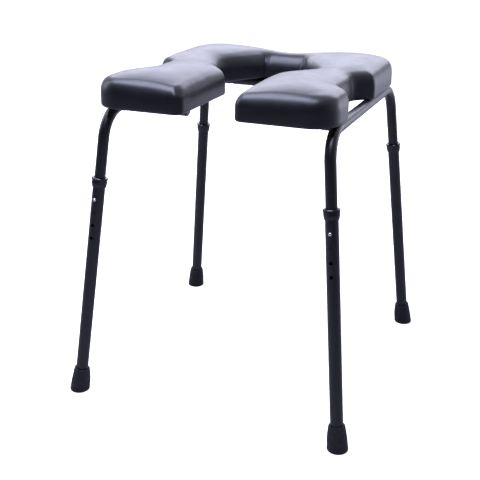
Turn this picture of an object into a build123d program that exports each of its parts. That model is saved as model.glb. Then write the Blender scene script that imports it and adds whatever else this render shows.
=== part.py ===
"""Height-adjustable four-legged headstand stool with an open-fronted padded top.

Millimetres.  +Z is up, the open front of the pad faces -Y, left is -X.
The origin is on the floor, under the middle of the stool.
"""
from math import atan, cos, radians, sin, sqrt, tan

from build123d import *

# ---------------------------------------------------------------- frame
rail_height = 600.0  # floor to the side rails' centre line, legs at their longest
rail_half_spread = 225.0  # middle plane to a side rail's centre line
rail_half_length = 236.0  # middle plane to where a leg's line meets the rail's line
lean_side = 5.9  # outward lean of the legs seen from the front, degrees
lean_fore = 5.8  # outward lean of the legs seen from the side, degrees
bend_radius = 57.0  # centre line of the bend between rail and leg

frame_tube_od = 22.2
frame_tube_wall = 1.5
leg_tube_wall = 1.2
sliding_gap = 0.4  # frame tube to the leg tube and collar that slide on it, radial

cross_tube_to_bend = 14.5  # rear cross tube's centre line to where the rail starts to bend
front_arm_to_bend = 14.5  # front arms' centre line to where the rail starts to bend
front_arm_end = 84.0  # middle plane to a front arm's open end
plug_length = 14.0  # part of the end plug inside the arm
plug_head = 4.0  # part of the end plug outside the arm
plug_wall = 1.6
plug_rounding = 2.8

# ---------------------------------------------------------------- height adjustment
hole_pitch = 27.0
hole_count = 4
hole_radius = 3.6
hole_below_collar = 44.5  # collar's top face to the highest hole
stop_gap = 1.2  # collar's top face to the bend, legs at their shortest
frame_tube_below_hole = 38.0  # snap button's axis to the frame tube's lower end

button_radius = 3.3
button_proud = 3.0  # snap button beyond the leg tube's surface
button_dome = 2.2
spring_thickness = 0.8
spring_width = 7.0
spring_length = 46.0  # snap button's axis to the spring's folded end
spring_foot = 6.0  # spring beyond the snap button's axis, towards the floor
spring_straight = 10.0  # straight stretch beside the snap button
spring_fold_radius = 3.2
spring_wall_gap = 0.6  # spring strip's corners to the frame tube's inner wall

# ---------------------------------------------------------------- collars and feet
collar_length = 19.5
collar_lip = 4.0  # height of the wider top ring
collar_cover = 3.0  # thickness of collar above the leg tube's end
collar_wall = 3.6  # top ring's radius over the leg tube's radius
collar_step = 0.7  # top ring's radius over the body's radius
collar_foot_wall = 1.3  # lower end's radius over the leg tube's radius
collar_taper_drop = 11.7  # collar's top face to where its body starts to narrow
collar_chamfer = 1.0

ferrule_length = 51.0
ferrule_lip_wall = 3.3  # radii over the leg tube's radius, from the lip down
ferrule_waist_wall = 7.3
ferrule_base_wall = 8.3
ferrule_base_height = 5.0
ferrule_base_step = 0.4  # base ring's radius over the body's start
ferrule_waist_height = 20.4
ferrule_base_fillet = 3.2
ferrule_mouth_chamfer = 1.2
ferrule_mouth_taper = 20.0  # degrees
ferrule_sole = 10.0  # rubber under the steel disc, along the leg
disc_thickness = 2.0
disc_gap = 0.3  # steel disc's rim to the ferrule's bore
fit_gap = 0.05  # pushed-on pieces, radial

# ---------------------------------------------------------------- seat
pad_half_width = 239.0
pad_front_y = -268.0
pad_rear_y = 250.0
pad_height = 64.0  # underside of the vinyl to the flat top
pad_edge_fillet = 22.0
under_edge_fillet = 5.0  # vinyl's lower outer edge, round the board's rounded edge
vinyl = 1.2
board_thickness = 12.0
hem_width = 22.0  # vinyl folded under the board
seat_gap = 0.1  # side rails' crest to the vinyl's underside

neck_half_width = 51.0  # half the slot between the two front wings
neck_end_y = -52.0  # where the slot opens into the head hole
hole_side = (122.0, 42.0)  # widest corner of the head hole
hole_back = (42.0, 160.0)  # rear corner of the head hole
grip_depth = 36.0  # hand notches in the two long sides
grip_front_y = -158.0
grip_floor_front_y = -108.0
grip_floor_rear_y = -8.0
grip_rear_y = 27.0
tail_depth = 30.0  # wide notch in the middle of the rear edge
tail_half_width = 100.0

front_corner_radius = 52.0
rear_corner_radius = 75.0
inner_corner_radius = 18.0
tip_radius = 24.0
tail_lobe_radius = 60.0
tail_floor_radius = 110.0
hole_side_radius = 60.0
hole_back_radius = 16.0
grip_wing_radius = 42.0
grip_floor_radius = 28.0
grip_lobe_radius = 14.0

# ---------------------------------------------------------------- seat fasteners
bolt_radius = 3.0
bolt_head_radius = 5.0
bolt_head_height = 3.4
bolt_head_rounding = 1.8
bolt_head_gap = 0.1  # bolt head to the inside of the tube's upper wall
bolt_socket_radius = 2.9  # hexagon socket, centre to corner
bolt_socket_depth = 2.0
bolt_hole_gap = 0.3
bolt_access_radius = 6.5  # hole in the tube's lower wall that the head passes through
bolt_above_nut = 2.0
nut_barrel_radius = 4.2
nut_barrel_length = 9.0
nut_flange_radius = 9.5
nut_flange = 1.5
outer_bolt_from_rail = 37.0  # outer bolts to the side rail's middle
arm_bolt_from_end = 34.0  # inner bolt of a front arm to its open end
cross_inner_bolt = 128.0

# ---------------------------------------------------------------- worked out
frame_tube_r = frame_tube_od / 2
frame_bore_r = frame_tube_r - frame_tube_wall
leg_bore_r = frame_tube_r + sliding_gap
leg_tube_r = leg_bore_r + leg_tube_wall
collar_radius = leg_tube_r + collar_wall
collar_foot_radius = leg_tube_r + collar_foot_wall
ferrule_lip_radius = leg_tube_r + ferrule_lip_wall
ferrule_waist_radius = leg_tube_r + ferrule_waist_wall
ferrule_base_radius = leg_tube_r + ferrule_base_wall

lean_x = tan(radians(lean_side))
lean_y = tan(radians(lean_fore))
lean_length = sqrt(1 + lean_x**2 + lean_y**2)  # leg length for each unit of height
foot_x = rail_half_spread + rail_height * lean_x
foot_y = rail_half_length + rail_height * lean_y

side_plane_tilt = atan(lean_x)  # lean of the plane that holds one side tube
leg_angle = atan(lean_y * cos(side_plane_tilt))  # leg's lean inside that plane
leg_run = rail_height * lean_length  # floor to the meeting point, along the leg
bend_tangent = bend_radius * tan((radians(90) - leg_angle) / 2)
cross_tube_y = rail_half_length - bend_tangent - cross_tube_to_bend
front_arm_y = front_arm_to_bend + bend_tangent - rail_half_length
travel = hole_pitch * (hole_count - 1)
collar_top = leg_run - bend_tangent - travel - stop_gap
button_height = collar_top - hole_below_collar
frame_tube_end = button_height - frame_tube_below_hole
leg_tube_top = collar_top - collar_cover
disc_height = ferrule_sole
leg_tube_end = disc_height + disc_thickness

pad_bottom = rail_height + frame_tube_r + seat_gap
board_bottom = pad_bottom + vinyl
board_top = board_bottom + board_thickness
outer_bolt_x = rail_half_spread - outer_bolt_from_rail
arm_bolt_x = (front_arm_end + arm_bolt_from_end, outer_bolt_x)
cross_bolt_x = (cross_inner_bolt, outer_bolt_x)
bolt_seat = rail_height + sqrt(frame_bore_r**2 - bolt_head_radius**2) - bolt_head_gap
bolt_end = board_top + nut_flange + bolt_above_nut

SIDES = {"left": -1, "right": 1}
CORNERS = {
    "front_left": (-1, -1),
    "front_right": (1, -1),
    "rear_left": (-1, 1),
    "rear_right": (1, 1),
}


def leg_plane(corner, height):
    """Plane across a leg; its normal points up the leg, its x faces the button's way."""
    side, end = CORNERS[corner]
    up = Vector(-side * lean_x, -end * lean_y, 1).normalized()
    foot = Vector(side * foot_x, end * foot_y, 0)
    outward = Vector(0, end, 0)
    facing = (outward - up * outward.dot(up)).normalized()
    return Plane(origin=foot + up * height, x_dir=facing, z_dir=up)


def button_plane(corner, height, reach):
    """Plane facing the way a snap button moves, at a distance from the leg's axis."""
    across = leg_plane(corner, height)
    return Plane(
        origin=across.origin + across.x_dir * reach,
        x_dir=across.z_dir,
        z_dir=across.x_dir,
    )


def spring_plane(corner):
    """Plane through a leg's axis; x points the button's way and y up the leg."""
    across = leg_plane(corner, button_height)
    return Plane(
        origin=across.origin,
        x_dir=across.x_dir,
        z_dir=across.x_dir.cross(across.z_dir),
    )


def save(part, name):
    part.label = name
    export_step(part, f"parts/{name}.step")


# ---------------------------------------------------------------- steel frame
def side_tube(name, side):
    """One bent tube: front leg stub, side rail and rear leg stub."""
    plane = Plane(
        origin=(side * rail_half_spread, 0, rail_height),
        x_dir=(0, 1, 0),
        z_dir=(cos(side_plane_tilt), 0, side * sin(side_plane_tilt)),
    )
    stub = (leg_run - frame_tube_end) * cos(leg_angle)
    spread = (leg_run - frame_tube_end) * sin(leg_angle)
    with BuildPart() as tube:
        with BuildLine(plane) as path:
            FilletPolyline(
                (-rail_half_length - spread, -stub),
                (-rail_half_length, 0),
                (rail_half_length, 0),
                (rail_half_length + spread, -stub),
                radius=bend_radius,
            )
        with BuildSketch(Plane(origin=path.line @ 0, z_dir=path.line % 0)):
            Circle(frame_tube_r)
            Circle(frame_bore_r, mode=Mode.SUBTRACT)
        sweep(path=path.line)
        for corner, (corner_side, end) in CORNERS.items():
            if corner_side == side:
                with BuildSketch(button_plane(corner, button_height, 0)):
                    Circle(hole_radius)
                extrude(amount=frame_tube_od, mode=Mode.SUBTRACT)
    save(tube.part, name)


for side_name, side in SIDES.items():
    side_tube(f"side_tube_{side_name}", side)


def bolt_drill(spots):
    """Rods for a tube that lies along X: wide up to its middle, bolt-sized above."""
    with BuildPart(mode=Mode.PRIVATE) as rods:
        with BuildSketch(Plane.XY.offset(rail_height)):
            with Locations(*spots):
                Circle(bolt_access_radius)
        extrude(amount=-frame_tube_od)
        with BuildSketch(Plane.XY.offset(rail_height)):
            with Locations(*spots):
                Circle(bolt_radius + bolt_hole_gap)
        extrude(amount=frame_tube_od)
    return rods.part


def rail_shape(side):
    """Solid rod the size of a side rail, for shaping the tube ends welded to it."""
    with BuildPart(mode=Mode.PRIVATE) as rod:
        with BuildSketch(Plane.XZ.offset(-rail_half_length)):
            with Locations((side * rail_half_spread, rail_height)):
                Circle(frame_tube_r)
        extrude(amount=2 * rail_half_length)
    return rod.part


cross_bolts = [(side * x, cross_tube_y) for side in SIDES.values() for x in cross_bolt_x]
arm_bolts = [(side * x, front_arm_y) for side in SIDES.values() for x in arm_bolt_x]
bolt_spots = cross_bolts + arm_bolts

with BuildPart() as cross_tube:
    with BuildSketch(Plane.YZ.offset(-rail_half_spread)):
        with Locations((cross_tube_y, rail_height)):
            Circle(frame_tube_r)
            Circle(frame_bore_r, mode=Mode.SUBTRACT)
    extrude(amount=2 * rail_half_spread)
    for side in SIDES.values():
        add(rail_shape(side), mode=Mode.SUBTRACT)
    add(bolt_drill(cross_bolts), mode=Mode.SUBTRACT)
save(cross_tube.part, "rear_cross_tube")

for side_name, side in SIDES.items():
    with BuildPart() as arm:
        with BuildSketch(Plane.YZ.offset(side * front_arm_end)):
            with Locations((front_arm_y, rail_height)):
                Circle(frame_tube_r)
                Circle(frame_bore_r, mode=Mode.SUBTRACT)
        extrude(amount=side * (rail_half_spread - front_arm_end))
        add(rail_shape(side), mode=Mode.SUBTRACT)
        add(bolt_drill(arm_bolts), mode=Mode.SUBTRACT)
    save(arm.part, f"front_arm_{side_name}")

    with BuildPart() as plug:
        with BuildSketch(Plane.YZ.offset(side * front_arm_end)):
            with Locations((front_arm_y, rail_height)):
                Circle(frame_tube_r)
        extrude(amount=-side * plug_head)
        with BuildSketch(Plane.YZ.offset(side * front_arm_end)):
            with Locations((front_arm_y, rail_height)):
                Circle(frame_bore_r - fit_gap)
                Circle(frame_bore_r - fit_gap - plug_wall, mode=Mode.SUBTRACT)
        extrude(amount=side * plug_length)
        outward_axis = Axis((0, 0, 0), (side, 0, 0))
        head_edges = plug.edges().filter_by(GeomType.CIRCLE).group_by(outward_axis)[0]
        fillet(head_edges, radius=plug_rounding)
    save(plug.part, f"arm_plug_{side_name}")


# ---------------------------------------------------------------- legs
def leg_tube(name, corner):
    with BuildPart() as tube:
        with BuildSketch(leg_plane(corner, leg_tube_end)):
            Circle(leg_tube_r)
            Circle(leg_bore_r, mode=Mode.SUBTRACT)
        extrude(amount=leg_tube_top - leg_tube_end)
        for step in range(hole_count):
            with BuildSketch(button_plane(corner, button_height - step * hole_pitch, 0)):
                Circle(hole_radius)
            extrude(amount=2 * leg_tube_r, mode=Mode.SUBTRACT)
    save(tube.part, name)


def leg_collar(name, corner):
    """Plastic bushing on the leg tube's top end, with a wider top ring."""
    body_radius = collar_radius - collar_step
    across = leg_plane(corner, collar_top)
    profile_plane = Plane(
        origin=across.origin,
        x_dir=across.x_dir,
        z_dir=across.x_dir.cross(across.z_dir),
    )
    with BuildPart() as collar:
        with BuildSketch(profile_plane):
            with BuildLine():
                Polyline(
                    (frame_tube_r + sliding_gap, -collar_chamfer / 2),
                    (frame_tube_r + sliding_gap + collar_chamfer / 2, 0),
                    (collar_radius - collar_chamfer, 0),
                    (collar_radius, -collar_chamfer),
                    (collar_radius, -collar_lip),
                    (body_radius, -collar_lip - collar_step),
                    (body_radius, -collar_taper_drop),
                    (collar_foot_radius, -collar_length),
                    (leg_tube_r + fit_gap, -collar_length),
                    (leg_tube_r + fit_gap, -collar_cover),
                    (frame_tube_r + sliding_gap, -collar_cover),
                    close=True,
                )
            make_face()
        revolve(axis=Axis(across.origin, across.z_dir))
    save(collar.part, name)


def foot_ferrule(name, corner):
    """Rubber foot: level base ring, body blending into a lip square to the leg."""
    side, end = CORNERS[corner]
    foot = Plane(origin=(side * foot_x, end * foot_y, 0))
    waist = leg_plane(corner, ferrule_waist_height)
    half_lean = (waist.z_dir + Vector(0, 0, 1)).normalized()
    with BuildPart() as ferrule:
        with BuildSketch(foot.offset(ferrule_base_height)):
            Circle(ferrule_base_radius - ferrule_base_step)
        with BuildSketch(Plane(origin=waist.origin, x_dir=waist.x_dir, z_dir=half_lean)):
            Circle(ferrule_waist_radius)
        with BuildSketch(leg_plane(corner, ferrule_length)):
            Circle(ferrule_lip_radius)
        loft()
        with BuildSketch(foot):
            Circle(ferrule_base_radius)
        extrude(amount=ferrule_base_height)
        fillet(ferrule.edges().group_by(Axis.Z)[0], radius=ferrule_base_fillet)
        with BuildSketch(leg_plane(corner, disc_height)):
            Circle(leg_tube_r + fit_gap)
        extrude(amount=ferrule_length, mode=Mode.SUBTRACT)
        with BuildSketch(leg_plane(corner, ferrule_length)):
            Circle(leg_tube_r + fit_gap + ferrule_mouth_chamfer)
        extrude(
            amount=-2 * ferrule_mouth_chamfer,
            taper=ferrule_mouth_taper,
            mode=Mode.SUBTRACT,
        )
    save(ferrule.part, name)


def foot_disc(name, corner):
    """Steel disc that keeps the tube's end from cutting through the rubber."""
    with BuildPart() as disc:
        with BuildSketch(leg_plane(corner, disc_height)):
            Circle(leg_tube_r - disc_gap)
        extrude(amount=disc_thickness)
    save(disc.part, name)


# ---------------------------------------------------------------- snap buttons
spring_face = sqrt((frame_bore_r - spring_wall_gap) ** 2 - (spring_width / 2) ** 2)


def snap_button(name, corner):
    """Round-nosed button that stands in the frame tube's and the leg tube's holes."""
    with BuildPart() as button:
        with BuildSketch(button_plane(corner, button_height, spring_face)):
            Circle(button_radius)
        extrude(amount=leg_tube_r + button_proud - spring_face)
        tip = leg_plane(corner, button_height)
        fillet(button.edges().sort_by(Axis(tip.origin, tip.x_dir))[-1], radius=button_dome)
    save(button.part, name)


def button_spring(name, corner):
    """Folded strip inside the frame tube that pushes the snap button out."""
    middle = spring_face - spring_thickness / 2
    with BuildPart() as spring:
        with BuildSketch(spring_plane(corner)):
            with BuildLine():
                FilletPolyline(
                    (middle, -spring_foot),
                    (middle, spring_straight),
                    (0, spring_length),
                    (-middle, spring_straight),
                    (-middle, -spring_foot),
                    radius=spring_fold_radius,
                )
            trace(line_width=spring_thickness)
        extrude(amount=spring_width / 2, both=True)
    save(spring.part, name)


for corner in CORNERS:
    leg_tube(f"leg_tube_{corner}", corner)
    leg_collar(f"leg_collar_{corner}", corner)
    foot_ferrule(f"foot_ferrule_{corner}", corner)
    foot_disc(f"foot_disc_{corner}", corner)
    snap_button(f"snap_button_{corner}", corner)
    button_spring(f"button_spring_{corner}", corner)


# ---------------------------------------------------------------- seat outline
def right_half():
    """Corner points and radii of the pad's right half, from the slot round to the tail."""
    side = pad_half_width
    return [
        ((neck_half_width, pad_front_y), inner_corner_radius),
        ((side, pad_front_y), front_corner_radius),
        ((side, grip_front_y), grip_wing_radius),
        ((side - grip_depth, grip_floor_front_y), grip_floor_radius),
        ((side - grip_depth, grip_floor_rear_y), grip_floor_radius),
        ((side, grip_rear_y), grip_lobe_radius),
        ((side, pad_rear_y), rear_corner_radius),
        ((tail_half_width, pad_rear_y), tail_lobe_radius),
        ((0, pad_rear_y - tail_depth), None),
        ((0, hole_back[1]), None),
        (hole_back, hole_back_radius),
        (hole_side, hole_side_radius),
        ((neck_half_width, neck_end_y), tip_radius),
    ]


def seat_outline(inset=0.0):
    """Draw the whole outline in the open sketch, drawn in by the inset."""
    with BuildSketch(mode=Mode.PRIVATE) as half:
        corners = right_half()
        with BuildLine():
            Polyline(*[point for point, radius in corners], close=True)
        make_face()
        for (x, y), radius in corners:
            if radius:
                corner = half.vertices().sort_by_distance((x, y, 0))[0]
                fillet(corner, radius=radius)
        mirror(about=Plane.YZ)
        tail_floor = half.vertices().sort_by_distance((0, pad_rear_y - tail_depth, 0))[0]
        fillet(tail_floor, radius=tail_floor_radius)
        if inset:
            offset(amount=-inset)
    add(half.sketch)


def padded_shape(inset, bottom, top, edge, under_edge):
    """Solid of the outline with rounded top and bottom edges."""
    with BuildPart(mode=Mode.PRIVATE) as shape:
        with BuildSketch(Plane.XY.offset(bottom)):
            seat_outline(inset)
        extrude(amount=top - bottom)
        fillet(shape.edges().group_by(Axis.Z)[-1], radius=edge)
        fillet(shape.edges().group_by(Axis.Z)[0], radius=under_edge)
    return shape.part


pad_top = pad_bottom + pad_height
inner_shape = padded_shape(
    vinyl,
    board_bottom,
    pad_top - vinyl,
    pad_edge_fillet - vinyl,
    under_edge_fillet - vinyl,
)

with BuildPart() as board:
    with BuildSketch(Plane.XY.offset(board_bottom)):
        seat_outline(vinyl)
    extrude(amount=board_thickness)
    fillet(board.edges().group_by(Axis.Z)[0], radius=under_edge_fillet - vinyl)
    with BuildSketch(Plane.XY.offset(board_bottom)):
        with Locations(*bolt_spots):
            Circle(nut_barrel_radius + fit_gap)
    extrude(amount=board_thickness, mode=Mode.SUBTRACT)
save(board.part, "seat_board")

with BuildPart() as foam:
    add(inner_shape)
    split(bisect_by=Plane.XY.offset(board_top), keep=Keep.TOP)
    with BuildSketch(Plane.XY.offset(board_top)):
        with Locations(*bolt_spots):
            Circle(nut_flange_radius + fit_gap)
    extrude(amount=nut_flange + bolt_above_nut + fit_gap, mode=Mode.SUBTRACT)
save(foam.part, "seat_foam")

with BuildPart() as cover:
    add(padded_shape(0, pad_bottom, pad_top, pad_edge_fillet, under_edge_fillet))
    add(inner_shape, mode=Mode.SUBTRACT)
    with BuildSketch(Plane.XY.offset(pad_bottom)):
        seat_outline(hem_width)
    extrude(amount=vinyl, mode=Mode.SUBTRACT)
save(cover.part, "seat_cover")

# ---------------------------------------------------------------- seat fasteners
with BuildPart() as nuts:
    with BuildSketch(Plane.XY.offset(board_top)):
        with Locations(*bolt_spots):
            Circle(nut_flange_radius)
    extrude(amount=nut_flange)
    with BuildSketch(Plane.XY.offset(board_top)):
        with Locations(*bolt_spots):
            Circle(nut_barrel_radius)
    extrude(amount=-nut_barrel_length)
    with BuildSketch(Plane.XY.offset(board_top - nut_barrel_length)):
        with Locations(*bolt_spots):
            Circle(bolt_radius + fit_gap)
    extrude(amount=nut_barrel_length + nut_flange, mode=Mode.SUBTRACT)
save(nuts.part, "tee_nuts")

with BuildPart() as bolts:
    with BuildSketch(Plane.XY.offset(bolt_seat)):
        with Locations(*bolt_spots):
            Circle(bolt_head_radius)
    extrude(amount=-bolt_head_height)
    fillet(bolts.edges().group_by(Axis.Z)[0], radius=bolt_head_rounding)
    with BuildSketch(Plane.XY.offset(bolt_seat)):
        with Locations(*bolt_spots):
            Circle(bolt_radius)
    extrude(amount=bolt_end - bolt_seat)
    with BuildSketch(Plane.XY.offset(bolt_seat - bolt_head_height)):
        with Locations(*bolt_spots):
            RegularPolygon(radius=bolt_socket_radius, side_count=6)
    extrude(amount=bolt_socket_depth, mode=Mode.SUBTRACT)
save(bolts.part, "seat_bolts")
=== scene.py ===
"""Headstand stool: padded top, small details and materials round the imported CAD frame.

Metres.  +Z is up, the open front of the pad faces -Y, left is -X.
"""

from math import ceil, cos, exp, pi, radians, sin, tan

import bpy
import numpy as np
from mathutils import Matrix, Vector, noise
from mathutils.geometry import delaunay_2d_cdt


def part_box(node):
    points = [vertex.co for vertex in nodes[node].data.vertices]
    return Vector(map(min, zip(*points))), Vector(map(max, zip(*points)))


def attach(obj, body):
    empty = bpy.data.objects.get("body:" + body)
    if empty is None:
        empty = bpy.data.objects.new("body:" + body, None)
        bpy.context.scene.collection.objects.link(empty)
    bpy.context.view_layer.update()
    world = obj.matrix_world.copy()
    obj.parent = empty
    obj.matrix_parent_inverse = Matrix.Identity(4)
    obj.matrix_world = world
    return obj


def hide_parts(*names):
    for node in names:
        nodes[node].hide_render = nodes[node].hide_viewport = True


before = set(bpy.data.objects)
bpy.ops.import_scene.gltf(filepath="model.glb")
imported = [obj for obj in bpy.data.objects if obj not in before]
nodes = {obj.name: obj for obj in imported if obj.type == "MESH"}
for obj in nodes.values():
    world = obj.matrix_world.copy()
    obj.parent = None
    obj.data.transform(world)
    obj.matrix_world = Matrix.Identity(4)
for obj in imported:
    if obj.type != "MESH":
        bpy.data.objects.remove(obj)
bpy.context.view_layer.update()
scene = bpy.context.scene

# ---------------------------------------------------------------- sizes from the frame
cover_low, cover_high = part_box("seat_cover")
cross_low, cross_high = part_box("rear_cross_tube")
arm_low, arm_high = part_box("front_arm_right")
rail_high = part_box("side_tube_right")[1]

pad_bottom = cover_low.z
pad_side = cover_high.x
pad_front = cover_low.y
pad_rear = cover_high.y
tube_radius = (cross_high.y - cross_low.y) / 2
cross_y = (cross_high.y + cross_low.y) / 2
arm_y = (arm_high.y + arm_low.y) / 2
arm_end = arm_low.x
rail_z = rail_high.z - tube_radius
rail_x = cross_high.x + 0.0001

# ---------------------------------------------------------------- camera
azimuth, elevation, roll = radians(21.93), radians(21.33), radians(0.50)
back = Vector((sin(azimuth) * cos(elevation), -cos(azimuth) * cos(elevation), sin(elevation)))
level = Vector((cos(azimuth), sin(azimuth), 0))
upward = back.cross(level)
right = level * cos(roll) + upward * sin(roll)
up = upward * cos(roll) - level * sin(roll)
camera = bpy.data.objects.new("camera", bpy.data.cameras.new("camera"))
scene.collection.objects.link(camera)
camera.matrix_world = Matrix.Translation((0.6256, -1.6483, 0.9691)) @ Matrix(
    (
        (right.x, up.x, back.x, 0),
        (right.y, up.y, back.y, 0),
        (right.z, up.z, back.z, 0),
        (0, 0, 0, 1),
    )
)
camera.data.sensor_width = 36
camera.data.lens = 63.87
scene.camera = camera


# ---------------------------------------------------------------- materials
class Nodes:
    """Short way to build one node material."""

    def __init__(self, name, **constants):
        self.material = bpy.data.materials.new(name)
        self.material.use_nodes = True
        self.tree = self.material.node_tree
        self.shader = self.tree.nodes["Principled BSDF"]
        for socket, value in constants.items():
            self.shader.inputs[socket.replace("_", " ")].default_value = value
        self.place = self.tree.nodes.new("ShaderNodeTexCoord").outputs["Object"]

    def add(self, kind, links=None, **values):
        node = self.tree.nodes.new("ShaderNode" + kind)
        for key, value in values.items():
            if hasattr(node, key):
                setattr(node, key, value)
            else:
                node.inputs[key.replace("_", " ")].default_value = value
        for socket, source in (links or {}).items():
            self.tree.links.new(source, node.inputs[socket])
        return node

    def noise(self, scale, detail=3.0, roughness=0.55, distortion=0.0):
        return self.add(
            "TexNoise",
            {"Vector": self.place},
            Scale=scale,
            Detail=detail,
            Roughness=roughness,
            Distortion=distortion,
        ).outputs["Fac"]

    def cells(self, scale, feature="F1", randomness=1.0):
        return self.add(
            "TexVoronoi",
            {"Vector": self.place},
            feature=feature,
            Scale=scale,
            Randomness=randomness,
        ).outputs["Distance"]

    def spread(self, source, low, high, start=0.0, end=1.0):
        """Maps source from start..end to low..high."""
        node = self.add("MapRange", {"Value": source})
        node.inputs["From Min"].default_value = start
        node.inputs["From Max"].default_value = end
        node.inputs["To Min"].default_value = low
        node.inputs["To Max"].default_value = high
        return node.outputs["Result"]

    def ramp(self, source, *stops):
        node = self.add("ValToRGB", {"Fac": source})
        elements = node.color_ramp.elements
        while len(elements) < len(stops):
            elements.new(0.5)
        for element, (position, colour) in zip(elements, stops):
            element.position = position
            element.color = (*colour, 1)
        return node.outputs["Color"]

    def bump(self, source, distance, strength=1.0, under=None):
        links = {"Height": source}
        if under is not None:
            links["Normal"] = under
        return self.add("Bump", links, Distance=distance, Strength=strength).outputs["Normal"]

    def wire(self, source, socket):
        self.tree.links.new(source, self.shader.inputs[socket])


def vinyl():
    m = Nodes("black_vinyl", Specular_IOR_Level=0.42, Coat_Weight=0.1, Coat_Roughness=0.3)
    dark, light = (0.0042, 0.0044, 0.0068), (0.0066, 0.0069, 0.0100)
    m.wire(m.ramp(m.noise(14, 4), (0.3, dark), (0.75, light)), "Base Color")
    m.wire(m.spread(m.noise(38, 5), 0.36, 0.42, 0.3, 0.7), "Roughness")
    pores = m.bump(m.cells(1500, "DISTANCE_TO_EDGE"), 0.00006, 0.35)
    grain = m.bump(m.noise(700, 4, 0.6), 0.00010, 0.3, pores)
    m.wire(m.bump(m.noise(16, 1), 0.0012, 0.16, grain), "Normal")
    return m.material


def powder_coat(name, dark, light, gloss):
    m = Nodes(name, Specular_IOR_Level=0.5)
    m.wire(m.ramp(m.noise(35, 5), (0.3, dark), (0.7, light)), "Base Color")
    m.wire(m.spread(m.noise(240, 4), gloss - 0.06, gloss + 0.07, 0.3, 0.7), "Roughness")
    peel = m.bump(m.noise(1100, 2), 0.0001, 0.35)
    m.wire(m.bump(m.noise(140, 3), 0.00025, 0.2, peel), "Normal")
    return m.material


def moulded_plastic(name, dark, light, gloss):
    m = Nodes(name, Specular_IOR_Level=0.5)
    m.wire(m.ramp(m.noise(90, 4), (0.3, dark), (0.7, light)), "Base Color")
    m.wire(m.spread(m.noise(180, 4), gloss - 0.05, gloss + 0.08, 0.3, 0.7), "Roughness")
    m.wire(m.bump(m.noise(420, 3), 0.0001, 0.25), "Normal")
    return m.material


def rubber():
    m = Nodes("foot_rubber", Specular_IOR_Level=0.35)
    dust = m.noise(55, 6, 0.65)
    dark, light = (0.0095, 0.0098, 0.0120), (0.0190, 0.0195, 0.0225)
    m.wire(m.ramp(dust, (0.35, dark), (0.72, light)), "Base Color")
    m.wire(m.spread(m.noise(120, 4), 0.55, 0.78, 0.3, 0.7), "Roughness")
    skin = m.bump(m.noise(1600, 3), 0.00012, 0.5)
    m.wire(m.bump(m.cells(700), 0.0001, 0.25, skin), "Normal")
    return m.material


def bare_steel(name, dark, light, gloss):
    m = Nodes(name, Metallic=1.0)
    m.wire(m.ramp(m.noise(160, 6, 0.65), (0.3, dark), (0.7, light)), "Base Color")
    m.wire(m.spread(m.noise(420, 5), gloss - 0.08, gloss + 0.12, 0.3, 0.7), "Roughness")
    m.wire(m.bump(m.noise(1300, 3), 0.00008, 0.4), "Normal")
    return m.material


def plywood():
    m = Nodes("plywood", Specular_IOR_Level=0.3)
    grain = m.add("Mapping", {"Vector": m.place})
    grain.inputs["Scale"].default_value = (6, 1, 1)
    streaks = m.add(
        "TexNoise", {"Vector": grain.outputs["Vector"]}, Scale=22, Detail=8, Distortion=1.2
    )
    m.wire(
        m.ramp(
            streaks.outputs["Fac"],
            (0.25, (0.20, 0.125, 0.065)),
            (0.5, (0.36, 0.25, 0.145)),
            (0.75, (0.46, 0.335, 0.205)),
        ),
        "Base Color",
    )
    m.wire(m.spread(streaks.outputs["Fac"], 0.62, 0.8), "Roughness")
    m.wire(m.bump(streaks.outputs["Fac"], 0.0004, 0.5), "Normal")
    return m.material


coat_dark = (0.0050, 0.0052, 0.0068)
frame_paint = powder_coat("frame_powder_coat", coat_dark, (0.0085, 0.0088, 0.0112), 0.34)
leg_paint = powder_coat("leg_powder_coat", coat_dark, (0.0080, 0.0083, 0.0106), 0.36)
collar_plastic = moulded_plastic(
    "collar_plastic", (0.0040, 0.0042, 0.0052), (0.0070, 0.0072, 0.0090), 0.18
)
plug_plastic = moulded_plastic("plug_plastic", (0.010, 0.0105, 0.012), (0.018, 0.0185, 0.021), 0.3)
foot_rubber = rubber()
zinc = bare_steel("zinc_steel", (0.42, 0.43, 0.44), (0.62, 0.62, 0.60), 0.34)
nickel = bare_steel("button_nickel", (0.72, 0.72, 0.72), (0.86, 0.86, 0.86), 0.16)
spring_steel = bare_steel("spring_steel", (0.24, 0.25, 0.27), (0.38, 0.38, 0.39), 0.3)
board_wood = plywood()
black_vinyl = vinyl()

FINISH = {
    "side_tube": frame_paint,
    "rear_cross_tube": frame_paint,
    "front_arm": frame_paint,
    "arm_plug": plug_plastic,
    "leg_tube": leg_paint,
    "leg_collar": collar_plastic,
    "foot_ferrule": foot_rubber,
    "foot_disc": zinc,
    "snap_button": nickel,
    "button_spring": spring_steel,
    "seat_board": board_wood,
    "seat_bolts": zinc,
    "tee_nuts": zinc,
}
for name, node in nodes.items():
    for start, material in FINISH.items():
        if name.startswith(start):
            node.data.materials.clear()
            node.data.materials.append(material)


def new_mesh(name, vertices, faces, material, slot, smooth=True):
    mesh = bpy.data.meshes.new(name)
    mesh.from_pydata([tuple(v) for v in vertices], [], faces)
    mesh.update()
    mesh.materials.append(material)
    for polygon in mesh.polygons:
        polygon.use_smooth = smooth
    piece = bpy.data.objects.new(name, mesh)
    scene.collection.objects.link(piece)
    return piece


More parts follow.
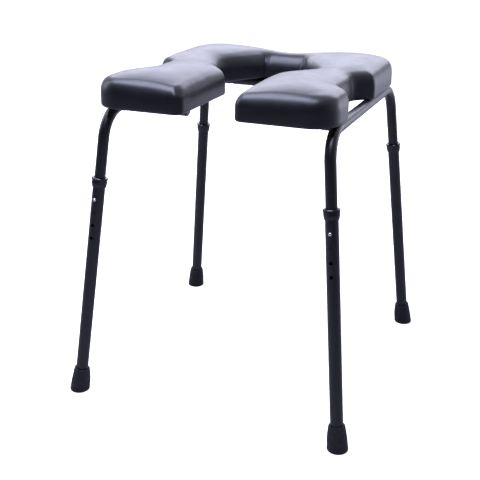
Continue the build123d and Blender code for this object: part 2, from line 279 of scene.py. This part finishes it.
# ---------------------------------------------------------------- pad outline
neck = 0.051
sample_step = 0.003
fine_step = 0.001
tight_radius = 0.017  # arcs under this radius take the fine step
smallest_radius = 0.002
outer_right = [
    ((neck, pad_front), 0.018),
    ((pad_side, pad_front), 0.052),
    ((pad_side, -0.158), 0.042),
    ((pad_side - 0.036, -0.108), 0.028),
    ((pad_side - 0.036, -0.008), 0.028),
    ((pad_side, 0.027), 0.014),
    ((pad_side, pad_rear), 0.075),
    ((0.100, pad_rear), 0.060),
]
outer_middle = [((0.0, pad_rear - 0.030), 0.110)]
inner_right = [
    ((0.042, 0.160), 0.016),
    ((0.122, 0.042), 0.060),
    ((neck, -0.052), 0.024),
]


def mirrored(corners):
    return [((-x, y), radius) for (x, y), radius in reversed(corners)]


pad_corners = (
    outer_right + outer_middle + mirrored(outer_right) + mirrored(inner_right) + inner_right
)


def turned_in(corners, inset):
    """The corners of the same outline, drawn in; they run anticlockwise."""
    result = []
    for i, ((x, y), radius) in enumerate(corners):
        here = Vector((x, y))
        before = (here - Vector(corners[i - 1][0])).normalized()
        after = (Vector(corners[(i + 1) % len(corners)][0]) - here).normalized()
        bisector = Vector((-before.y - after.y, before.x + after.x)).normalized()
        reach = inset / bisector.dot(Vector((-before.y, before.x)))
        convex = before.x * after.y - before.y * after.x > 0
        moved = here + bisector * reach
        new_radius = max(radius - inset, smallest_radius) if convex else radius + inset
        result.append(((moved.x, moved.y), new_radius))
    return result


def rounded(corners, step=sample_step):
    """Points along the outline with its corners rounded."""
    arcs = []
    for i, (spot, radius) in enumerate(corners):
        here = Vector(spot)
        before = (Vector(corners[i - 1][0]) - here).normalized()
        after = (Vector(corners[(i + 1) % len(corners)][0]) - here).normalized()
        half = before.angle(after) / 2
        centre = here + (before + after).normalized() * radius / sin(half)
        tangent = radius / tan(half)
        arcs.append((here + before * tangent, here + after * tangent, centre, radius))
    points = []
    for i, (first, last, centre, radius) in enumerate(arcs):
        start = first - centre
        turn = start.angle_signed(last - centre)
        pace = fine_step if radius < tight_radius and step == sample_step else step
        count = max(2, ceil(abs(turn) * radius / pace))
        for k in range(count):
            angle = -turn * k / count
            c, s = cos(angle), sin(angle)
            points.append(centre + Vector((start.x * c - start.y * s, start.x * s + start.y * c)))
        following = arcs[(i + 1) % len(arcs)][0]
        count = max(1, ceil((following - last).length / step))
        for k in range(count):
            points.append(last.lerp(following, k / count))
    return np.array([tuple(p) for p in points])


def inward_normals(loop):
    along = np.roll(loop, -1, 0) - np.roll(loop, 1, 0)
    along /= np.linalg.norm(along, axis=1)[:, None]
    return np.stack([-along[:, 1], along[:, 0]], 1)


def inside(points, loop):
    """Which points lie inside a closed loop."""
    result = np.zeros(len(points), bool)
    for (ax, ay), (bx, by) in zip(loop, np.roll(loop, -1, 0)):
        if ay == by:
            continue
        crosses = (ay > points[:, 1]) != (by > points[:, 1])
        edge_x = ax + (points[:, 1] - ay) * (bx - ax) / (by - ay)
        result ^= crosses & (points[:, 0] < edge_x)
    return result


def distance_to(points, starts, ends):
    span = ends - starts
    squared = (span**2).sum(1)
    nearest = np.empty(len(points))
    for first in range(0, len(points), 1000):
        part = points[first : first + 1000, None, :]
        share = np.clip(((part - starts) * span).sum(2) / squared, 0, 1)
        gap = part - starts - share[..., None] * span
        nearest[first : first + 1000] = np.sqrt((gap**2).sum(2)).min(1)
    return nearest


def filled(points, loops_edges, keep):
    """Triangles over points that hold the given edges and whose middles pass keep."""
    made = delaunay_2d_cdt([Vector(p) for p in points], loops_edges, [], 0, 1e-7, True)
    source = [ids[0] for ids in made[3]]
    faces = np.array([[source[i] for i in face] for face in made[2]])
    middles = points[faces].mean(1)
    return faces[keep(middles)]


# ---------------------------------------------------------------- pad
pad_wall = 0.0288  # straight wall from the underside to the top edge's rounding
edge_height = 0.021  # height of the top edge's rounding
outer_edge_width = 0.024
inner_edge_width = 0.030
slot_less_width = 0.012  # the slot's edges are tighter toward the front
bridge_extra_width = 0.020
bridge_lower_wall = 0.0145  # the bridge slopes down this much further than other edges
crown_height = 0.026
crown_reach = 0.060
crown_passes = 60
under_rounding = 0.005
hem_width = 0.022
hem_depth = 0.006  # the hem's inner end, hidden in the board's thickness
grid_step = 0.0045
split_angle = radians(45)

outline = rounded(pad_corners)
normals = inward_normals(outline)
on_inner = (
    (np.abs(outline[:, 0]) < 0.13)
    & (outline[:, 1] > pad_front + 0.008)
    & (outline[:, 1] < 0.19)
)
nexts = np.roll(outline, -1, 0)


def eased(value):
    share = np.clip(value, 0, 1)
    return share * share * (3 - 2 * share)


def bridge_share(points, reach, blend):
    """1 on the bridge behind the hole, 0 away from it."""
    return eased((points[:, 1] - 0.085) / 0.06) * eased((reach - np.abs(points[:, 0])) / blend)


def inner_width(points):
    """Width of the top edge's rounding at the slot and hole; widest at the hole's back."""
    slot_share = eased((-0.030 - points[:, 1]) / 0.09)
    wide = bridge_extra_width * bridge_share(points, 0.115, 0.06)
    return inner_edge_width + wide - slot_less_width * slot_share


def lower_wall(points):
    """How far the wall's top, where the rounding starts, sits under its usual height."""
    return bridge_lower_wall * bridge_share(points, 0.064, 0.034)


def edge_drop(distance, width):
    """0 on the pad's flat, 1 at its edge, round in between."""
    return 1 - np.sqrt(1 - (1 - np.minimum(distance, width) / width) ** 2)


def spread_out(values, edges, passes):
    """Each point's value, averaged with its neighbours' again and again."""
    weight = np.bincount(edges.ravel(), minlength=len(values)).astype(float)
    weight = weight.reshape(-1, *[1] * (values.ndim - 1))
    for _ in range(passes):
        total = np.zeros_like(values)
        np.add.at(total, edges[:, 0], values[edges[:, 1]])
        np.add.at(total, edges[:, 1], values[edges[:, 0]])
        values = 0.5 * values + 0.5 * total / weight
    return values


def top_heights(points, edges):
    """Height over the underside: flat, plus a crown, less the rounding of the edges."""
    from_outer = distance_to(points, outline[~on_inner], nexts[~on_inner])
    from_inner = distance_to(points, outline[on_inner], nexts[on_inner])
    outer_drop = edge_drop(from_outer, outer_edge_width)
    inner_drop = edge_drop(from_inner, inner_width(points))
    crown = (1 - np.exp(-from_outer / crown_reach)) * (1 - np.exp(-from_inner / crown_reach))
    crown = spread_out(crown * crown_height, edges, crown_passes)
    inner_depth = edge_height + lower_wall(points)
    kept = edge_height * (1 - outer_drop) - inner_depth * inner_drop * (1 - outer_drop)
    return pad_wall + kept + crown


def smoothed_round(values, passes):
    for _ in range(passes):
        values = (np.roll(values, 1) + values * 2 + np.roll(values, -1)) / 4
    return values


edge_passes = 60
edge_width = smoothed_round(np.where(on_inner, inner_width(outline), outer_edge_width), edge_passes)
wall_top = pad_wall - np.where(on_inner, lower_wall(outline), 0)

# sewn corners at the back of the head hole: a crease with small pleats at its foot
crease_depth = 0.0022
crease_start = 0.016  # the crease is shallow below this height, where the board is
shallow_crease = 0.25
crease_width = 0.0014
shoulder_reach = 0.005  # raised shoulders on both sides of the crease
shoulder_width = 0.0022
pleat_depth = 0.0005
pleat_pitch = 0.0024
pleat_reach = 0.008
crease_points = 14  # outline points on either side of a crease
crease = np.zeros(len(outline))
pleats = np.zeros(len(outline))
for side in (-1, 1):
    spot = np.array([side * 0.0432, 0.1583])
    middle = int(np.argmin(((outline - spot) ** 2).sum(1)))
    for k in range(-crease_points, crease_points + 1):
        j = (middle + k) % len(outline)
        reach = np.linalg.norm(outline[j] - outline[middle])
        shoulder = exp(-(((reach - shoulder_reach) / shoulder_width) ** 2))
        crease[j] += exp(-((reach / crease_width) ** 2)) - 0.35 * shoulder
        pleats[j] += cos(reach / pleat_pitch * pi) * exp(-((reach / pleat_reach) ** 2))

levels = []
for angle in (0, 30, 60):
    a = radians(angle)
    inset = under_rounding * (1 - sin(a))
    levels.append((inset, np.full(len(outline), under_rounding * (1 - cos(a)))))
for share in (0, 0.2, 0.4, 0.6, 0.8):
    levels.append((0, under_rounding + (wall_top - under_rounding) * share))
split_inset = edge_width * (1 - cos(split_angle))
rim = outline + normals * split_inset[:, None]
count = len(outline)
ring = [(j, (j + 1) % count) for j in range(count)]

# the top's points: its rim and an even grid inside it
columns = np.arange(-pad_side, pad_side, grid_step)
lines = np.arange(pad_front, pad_rear, grid_step * 0.866)
grid = np.array([(x + (i % 2) * grid_step / 2, y) for i, y in enumerate(lines) for x in columns])
grid = grid[inside(grid, rim)]
grid = grid[distance_to(grid, rim, np.roll(rim, -1, 0)) > grid_step * 0.6]
top_points = np.vstack([rim, grid])
top_faces = filled(top_points, ring, lambda middles: inside(middles, rim))
top_edges = np.vstack([top_faces[:, [0, 1]], top_faces[:, [1, 2]], top_faces[:, [2, 0]]])
top_z = top_heights(top_points, top_edges)
split_height = top_z[:count]

vertices = []
for inset, heights in levels:
    depth = crease_depth * np.where(heights < crease_start, shallow_crease, 1.0)
    fold = crease * depth + pleats * pleat_depth * (1 - heights / pad_wall) ** 2
    flat = outline + normals * (inset + fold)[:, None]
    vertices += [(x, y, pad_bottom + z) for (x, y), z in zip(flat, heights)]
for angle in (0, 15, 30, 45):
    a = radians(angle)
    rise = sin(a) / sin(split_angle)
    fold = crease * crease_depth * (1 - 0.7 * rise)
    flat = outline + normals * (edge_width * (1 - cos(a)) + fold)[:, None]
    heights = wall_top + (split_height - wall_top) * rise
    vertices += [(x, y, pad_bottom + z) for (x, y), z in zip(flat, heights)]

rows = len(vertices) // count
faces = []
for row in range(rows - 1):
    low, high = row * count, (row + 1) * count
    for j, k in ring:
        faces.append((low + j, low + k, high + k, high + j))

first_rim = len(vertices) - count
vertices += [(x, y, pad_bottom + z) for (x, y), z in zip(grid, top_z[count:])]
faces += [tuple(int(first_rim + i) for i in face) for face in top_faces]

# the underside: a hem round the board, closed inside the board's thickness
foot = np.array(vertices[:count])[:, :2]
hem = rounded(turned_in(pad_corners, hem_width), 0.006)
hem_ring = [(i, (i + 1) % len(hem)) for i in range(len(hem))]
under_points = np.vstack([foot, hem])
under_faces = filled(
    under_points,
    ring + [(a + count, b + count) for a, b in hem_ring],
    lambda middles: inside(middles, foot) & ~inside(middles, hem),
)
first_hem = len(vertices)
vertices += [(x, y, pad_bottom) for x, y in hem]
vertices += [(x, y, pad_bottom + hem_depth) for x, y in hem]
for face in under_faces:
    faces.append(tuple(int(i) if i < count else int(first_hem + i - count) for i in reversed(face)))
for a, b in hem_ring:
    faces.append((first_hem + b, first_hem + a, first_hem + len(hem) + a, first_hem + len(hem) + b))
lid_faces = filled(hem, hem_ring, lambda middles: inside(middles, hem))
faces += [tuple(int(first_hem + len(hem) + i) for i in reversed(face)) for face in lid_faces]

pad = new_mesh("padded_top", vertices, faces, black_vinyl, "vinyl")

# ---------------------------------------------------------------- pad under pressure
swell_limit = 0.0030
swell_passes = 16
cloth_frames = 20
base = np.array([v.co for v in pad.data.vertices])


def cloth_swell():
    """Where each point of the pad goes when the cover is blown up a little."""
    held = pad.vertex_groups.new(name="held")
    low = [i for i, v in enumerate(base) if v[2] < pad_bottom + under_rounding * 1.1]
    held.add(low, 1.0, "REPLACE")
    cloth = pad.modifiers.new("cloth", "CLOTH")
    cloth.settings.vertex_group_mass = "held"
    cloth.settings.quality = 4
    cloth.settings.mass = 0.3
    cloth.settings.tension_stiffness = 12
    cloth.settings.compression_stiffness = 12
    cloth.settings.shear_stiffness = 5
    cloth.settings.bending_stiffness = 0.8
    cloth.settings.use_pressure = True
    cloth.settings.uniform_pressure_force = 4
    cloth.settings.effector_weights.gravity = 0
    cloth.collision_settings.use_collision = False
    cloth.point_cache.frame_start = 1
    cloth.point_cache.frame_end = cloth_frames
    for step in range(1, cloth_frames + 1):
        scene.frame_set(step)
    blown = pad.evaluated_get(bpy.context.evaluated_depsgraph_get())
    result = np.array([v.co for v in blown.data.vertices]) - base
    pad.modifiers.remove(cloth)
    pad.vertex_groups.remove(held)
    scene.frame_set(1)
    return result


swell = cloth_swell()
size = np.linalg.norm(swell, axis=1)
swell *= (swell_limit * np.tanh(size / swell_limit) / np.maximum(size, 1e-9))[:, None]
pad_edges = np.array([tuple(e.vertices) for e in pad.data.edges])
swell = spread_out(swell, pad_edges, swell_passes)
swell[base[:, 2] < pad_bottom + under_rounding * 0.9] = 0
pad.data.vertices.foreach_set("co", (base + swell).ravel())
pad.data.update()
finer = pad.modifiers.new("finer", "SUBSURF")
finer.levels = finer.render_levels = 1
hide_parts("seat_cover", "seat_foam")
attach(pad, "frame")


# ---------------------------------------------------------------- wires and beads
def swept(path, radii, sides=8, closed=False):
    """Vertices and faces of a round bead along a path."""
    path = [Vector(p) for p in path]
    made, skin = [], []
    guide = Vector((0.13, 0.31, 0.94)).normalized()
    for i, here in enumerate(path):
        before = path[i - 1] if closed or i else here
        after = path[(i + 1) % len(path)] if closed or i < len(path) - 1 else here
        along = (after - before).normalized()
        across = along.cross(guide).normalized()
        over = across.cross(along)
        for k in range(sides):
            a = 2 * pi * k / sides
            made.append(here + (across * cos(a) + over * sin(a)) * radii[i])
    for i in range(len(path) if closed else len(path) - 1):
        for k in range(sides):
            a, b = i * sides, (i + 1) % len(path) * sides
            skin.append((a + k, a + (k + 1) % sides, b + (k + 1) % sides, b + k))
    if not closed:
        skin.append(tuple(reversed(range(sides))))
        skin.append(tuple(range((len(path) - 1) * sides, len(path) * sides)))
    return made, skin


def joined(parts):
    vertices, faces = [], []
    for made, skin in parts:
        faces += [tuple(i + len(vertices) for i in face) for face in skin]
        vertices += made
    return vertices, faces


bead_radius = 0.0017


def weld_bead(side, y, seed):
    """Rippled weld round the lower three quarters of a tube end that meets a rail."""
    path, radii = [], []
    steps = 90
    reach = tube_radius + 0.0002
    for i in range(steps + 1):
        angle = radians(-215 + 250 * i / steps)
        x = side * (rail_x - tube_radius * abs(cos(angle)) - 0.0004)
        path.append((x, y + reach * cos(angle), rail_z + reach * sin(angle)))
        ends = min(1, i / 5 + 0.25, (steps - i) / 5 + 0.25)
        ripple = 1 + 0.12 * sin(i * 1.9) + 0.15 * noise.noise((i * 0.31, seed, 0))
        radii.append(bead_radius * ends * ripple)
    return swept(path, radii, 10)


beads = joined([weld_bead(side, y, y * 90 + side) for side in (-1, 1) for y in (cross_y, arm_y)])
welds = new_mesh("weld_beads", *beads, frame_paint, "frame_paint")
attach(welds, "frame")

staple_inset = 0.014
staple_gap = 0.006  # staples keep this far from the tubes
staple_reaches = (-0.0055, -0.0050, 0.0050, 0.0055)  # the legs' ends and the back's ends
staple_rise = 0.0012
staple_radius = 0.0004
staple_line = rounded(turned_in(pad_corners, staple_inset), 0.004)
staple_ways = inward_normals(staple_line)
staples = []
for i in range(0, len(staple_line), 7):
    x, y = staple_line[i]
    clear = tube_radius + staple_gap
    over_rail = abs(abs(x) - rail_x) < clear
    over_cross = abs(y - cross_y) < clear
    over_arm = abs(y - arm_y) < clear and abs(x) > arm_end - 0.010
    if over_rail or over_cross or over_arm:
        continue
    inward = staple_ways[i]
    skew = 0.35 * noise.noise((x * 40, y * 40, 3))
    along = Vector((inward[1] + inward[0] * skew, -inward[0] + inward[1] * skew, 0)).normalized()
    middle = Vector((x, y, pad_bottom - 0.0002))
    ends = [middle + along * reach for reach in staple_reaches]
    ends[0].z += staple_rise
    ends[3].z += staple_rise
    staples.append(swept(ends, [staple_radius] * 4, 6))
hem_staples = new_mesh("hem_staples", *joined(staples), zinc, "zinc_steel")
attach(hem_staples, "frame")

# ---------------------------------------------------------------- floor and light
floor_glow = 0.6
floor_glow_from_to = (1.3, 1.75)
# the camera sees a white floor; the object sees a dim one that glows far behind it
floor_paint = Nodes("floor_white", Roughness=0.9, Specular_IOR_Level=0.1)
floor_dark, floor_light = (0.90, 0.90, 0.91), (0.92, 0.92, 0.925)
floor_tone = floor_paint.ramp(floor_paint.noise(0.6), (0.3, floor_dark), (0.7, floor_light))
floor_paint.wire(floor_tone, "Base Color")
floor_paint.shader.inputs["Emission Color"].default_value = (1, 1, 1, 1)
floor_paint.shader.inputs["Emission Strength"].default_value = 0.7
depth = floor_paint.add("SeparateXYZ", {"Vector": floor_paint.place}).outputs["Y"]
dim_paint = floor_paint.add("BsdfPrincipled", Roughness=0.9, Base_Color=(0.3, 0.3, 0.33, 1))
dim_paint.inputs["Emission Color"].default_value = (0.80, 0.81, 1.0, 1)
far_glow = floor_paint.spread(depth, 0.0, floor_glow, *floor_glow_from_to)
floor_paint.tree.links.new(far_glow, dim_paint.inputs["Emission Strength"])
floor_seen = floor_paint.add("LightPath").outputs["Is Camera Ray"]
floor_mix = floor_paint.add("MixShader", {"Fac": floor_seen})
floor_paint.tree.links.new(dim_paint.outputs[0], floor_mix.inputs[1])
floor_paint.tree.links.new(floor_paint.shader.outputs[0], floor_mix.inputs[2])
floor_output = floor_paint.tree.nodes["Material Output"]
floor_paint.tree.links.new(floor_mix.outputs[0], floor_output.inputs["Surface"])
floor_reach = 14
floor = new_mesh(
    "floor",
    [(x * floor_reach, y * floor_reach, 0) for x, y in ((-1, -1), (1, -1), (1, 1), (-1, 1))],
    [(0, 1, 2, 3)],
    floor_paint.material,
    "vinyl",
    False,
)

world = bpy.data.worlds.new("studio")
scene.world = world
world.use_nodes = True
tree = world.node_tree
tree.nodes.clear()
output = tree.nodes.new("ShaderNodeOutputWorld")
direction = tree.nodes.new("ShaderNodeTexCoord")
split = tree.nodes.new("ShaderNodeSeparateXYZ")
tree.links.new(direction.outputs["Generated"], split.inputs[0])
toward_back = tree.nodes.new("ShaderNodeMapRange")
toward_back.interpolation_type = "SMOOTHSTEP"
toward_back.inputs["From Min"].default_value = -0.7
toward_back.inputs["From Max"].default_value = 0.8
toward_back.inputs["To Min"].default_value = 0.05
toward_back.inputs["To Max"].default_value = 0.9
tree.links.new(split.outputs["Y"], toward_back.inputs["Value"])
glow = tree.nodes.new("ShaderNodeBackground")
glow.inputs["Color"].default_value = (0.84, 0.85, 1.0, 1)
tree.links.new(toward_back.outputs["Result"], glow.inputs["Strength"])
plain = tree.nodes.new("ShaderNodeBackground")
plain.inputs["Color"].default_value = (1, 1, 1, 1)
plain.inputs["Strength"].default_value = 1.0
seen = tree.nodes.new("ShaderNodeLightPath")
choose = tree.nodes.new("ShaderNodeMixShader")
tree.links.new(seen.outputs["Is Camera Ray"], choose.inputs[0])
tree.links.new(glow.outputs[0], choose.inputs[1])
tree.links.new(plain.outputs[0], choose.inputs[2])
tree.links.new(choose.outputs[0], output.inputs["Surface"])


def soft_light(name, place, target, width, height, power, colour):
    light = bpy.data.lights.new(name, "AREA")
    light.shape = "RECTANGLE"
    light.size = width
    light.size_y = height
    light.energy = power
    light.color = colour
    lamp = bpy.data.objects.new(name, light)
    scene.collection.objects.link(lamp)
    lamp.location = place
    lamp.rotation_euler = (Vector(target) - Vector(place)).to_track_quat("-Z", "Y").to_euler()


soft_light("back_softbox", (-0.6, 2.6, 1.9), (0, 0, 0.5), 3.4, 1.6, 66, (0.80, 0.80, 1.0))
soft_light("top_softbox", (-0.4, -0.50, 2.5), (0, 0, 0.6), 2.6, 1.2, 114, (0.70, 0.73, 1.0))
soft_light("left_softbox", (-2.4, -0.2, 1.6), (0, 0, 0.4), 1.0, 1.8, 20, (0.82, 0.83, 1.0))
soft_light("right_softbox", (1.6, 2.1, 0.60), (0.2, 0.1, 0.62), 1.2, 0.8, 9, (0.80, 0.81, 1.0))

scene.view_settings.view_transform = "Standard"
scene.view_settings.look = "None"
